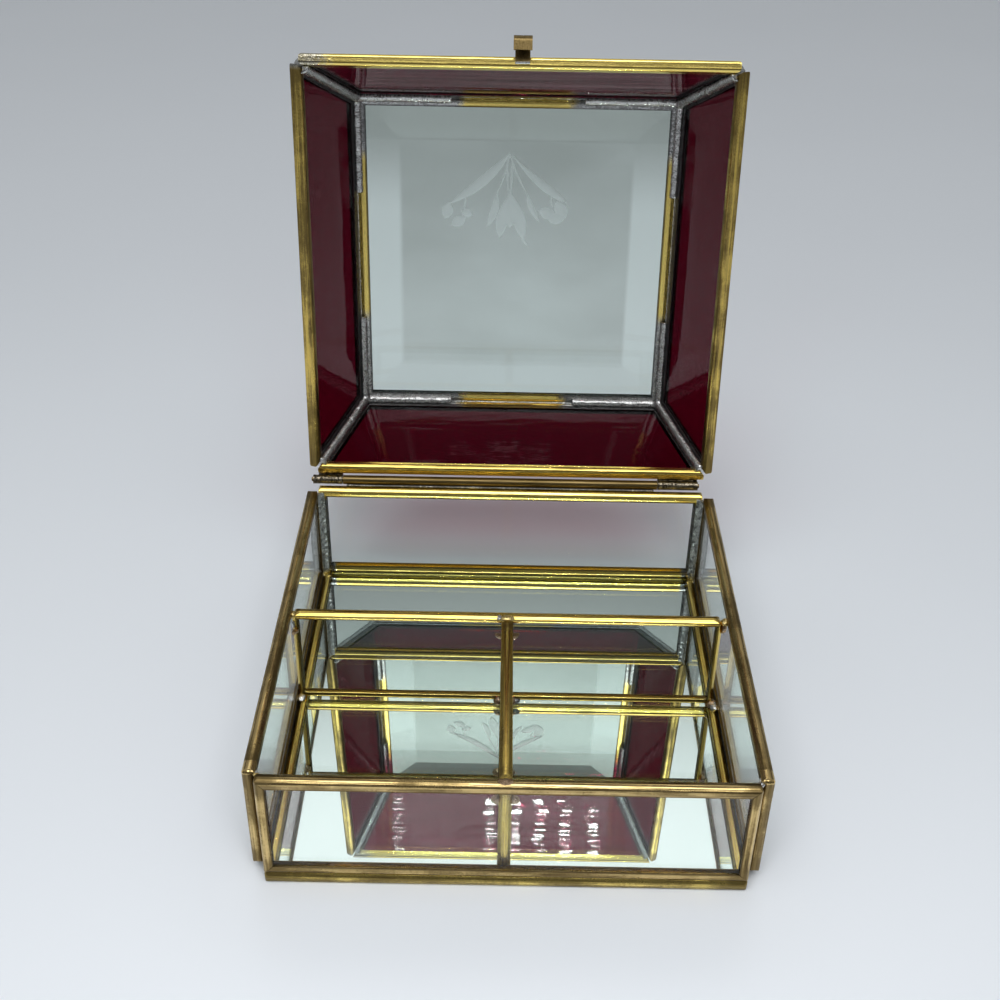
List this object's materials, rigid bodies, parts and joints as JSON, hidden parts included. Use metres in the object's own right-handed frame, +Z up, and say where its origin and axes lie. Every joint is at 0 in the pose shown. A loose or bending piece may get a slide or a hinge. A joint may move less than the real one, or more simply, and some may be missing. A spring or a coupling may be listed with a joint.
{
  "type": "glass casket box",
  "caption": "Square glass keepsake box with brass-edged panes, a mirrored floor, glass dividers and a hinged ruby lid with a bevelled, wheel-cut glass top.",
  "frame": {"origin": "centre of the underside, on the plane of the surface that the case stands on", "axes": "+X to the right seen from the front, +Y towards the hinge, +Z up"},
  "size_m": [0.1524, 0.2079, 0.2026],
  "materials": {
    "case_brass": "antique brass channel with brown patina",
    "divider_brass": "bright folded brass channel",
    "lid_brass": "folded brass channel, bright along its folds, tinned near the soldered corners",
    "hinge_brass": "drawn brass tube and wire, darkened",
    "tab_brass": "rolled brass strip with brown patina",
    "solder": "bright tin-lead solder with a rippled surface",
    "clear_glass": "clear float glass",
    "bevelled_glass": "bevelled clear glass with a wheel-cut flower spray",
    "red_glass": "deep ruby glass",
    "mirror_glass": "clear glass of the mirror",
    "mirror_backing": "silvered back of the mirror, painted underneath"
  },
  "bodies": {
    "case": {"mirror_glass": "mirror_glass", "mirror_backing": "mirror_backing", "floor_channel": "case_brass", "front_glass": "clear_glass", "front_channel": "case_brass", "back_glass": "clear_glass", "back_channel": "case_brass", "left_glass": "clear_glass", "left_channel": "case_brass", "right_glass": "clear_glass", "right_channel": "case_brass", "cross_divider_glass": "clear_glass", "cross_divider_channel": "divider_brass", "centre_divider_glass": "clear_glass", "centre_divider_channel": "divider_brass", "corner_seams": "solder", "side_seams": "solder", "divider_beads": "solder", "hinge_tube": "hinge_brass", "hinge_fillet": "solder"},
    "lid": {"lid_front_glass": "red_glass", "lid_front_channel": "lid_brass", "lid_back_glass": "red_glass", "lid_back_channel": "lid_brass", "lid_left_glass": "red_glass", "lid_left_channel": "lid_brass", "lid_right_glass": "red_glass", "lid_right_channel": "lid_brass", "lid_top_glass": "bevelled_glass", "lid_top_channel": "lid_brass", "lid_outer_seams": "solder", "lid_inner_seams": "solder", "hinge_pin": "hinge_brass", "left_knuckle": "hinge_brass", "right_knuckle": "hinge_brass", "knuckle_solder": "solder", "lift_tab": "tab_brass", "tab_solder": "solder"}
  },
  "joints": [
    {"name": "lid_hinge", "type": "hinge", "parent": "case", "child": "lid", "pos_m": [0, 0.0779, 0.0436], "axis": [1, 0, 0], "range_deg": [0, 98]}
  ]
}
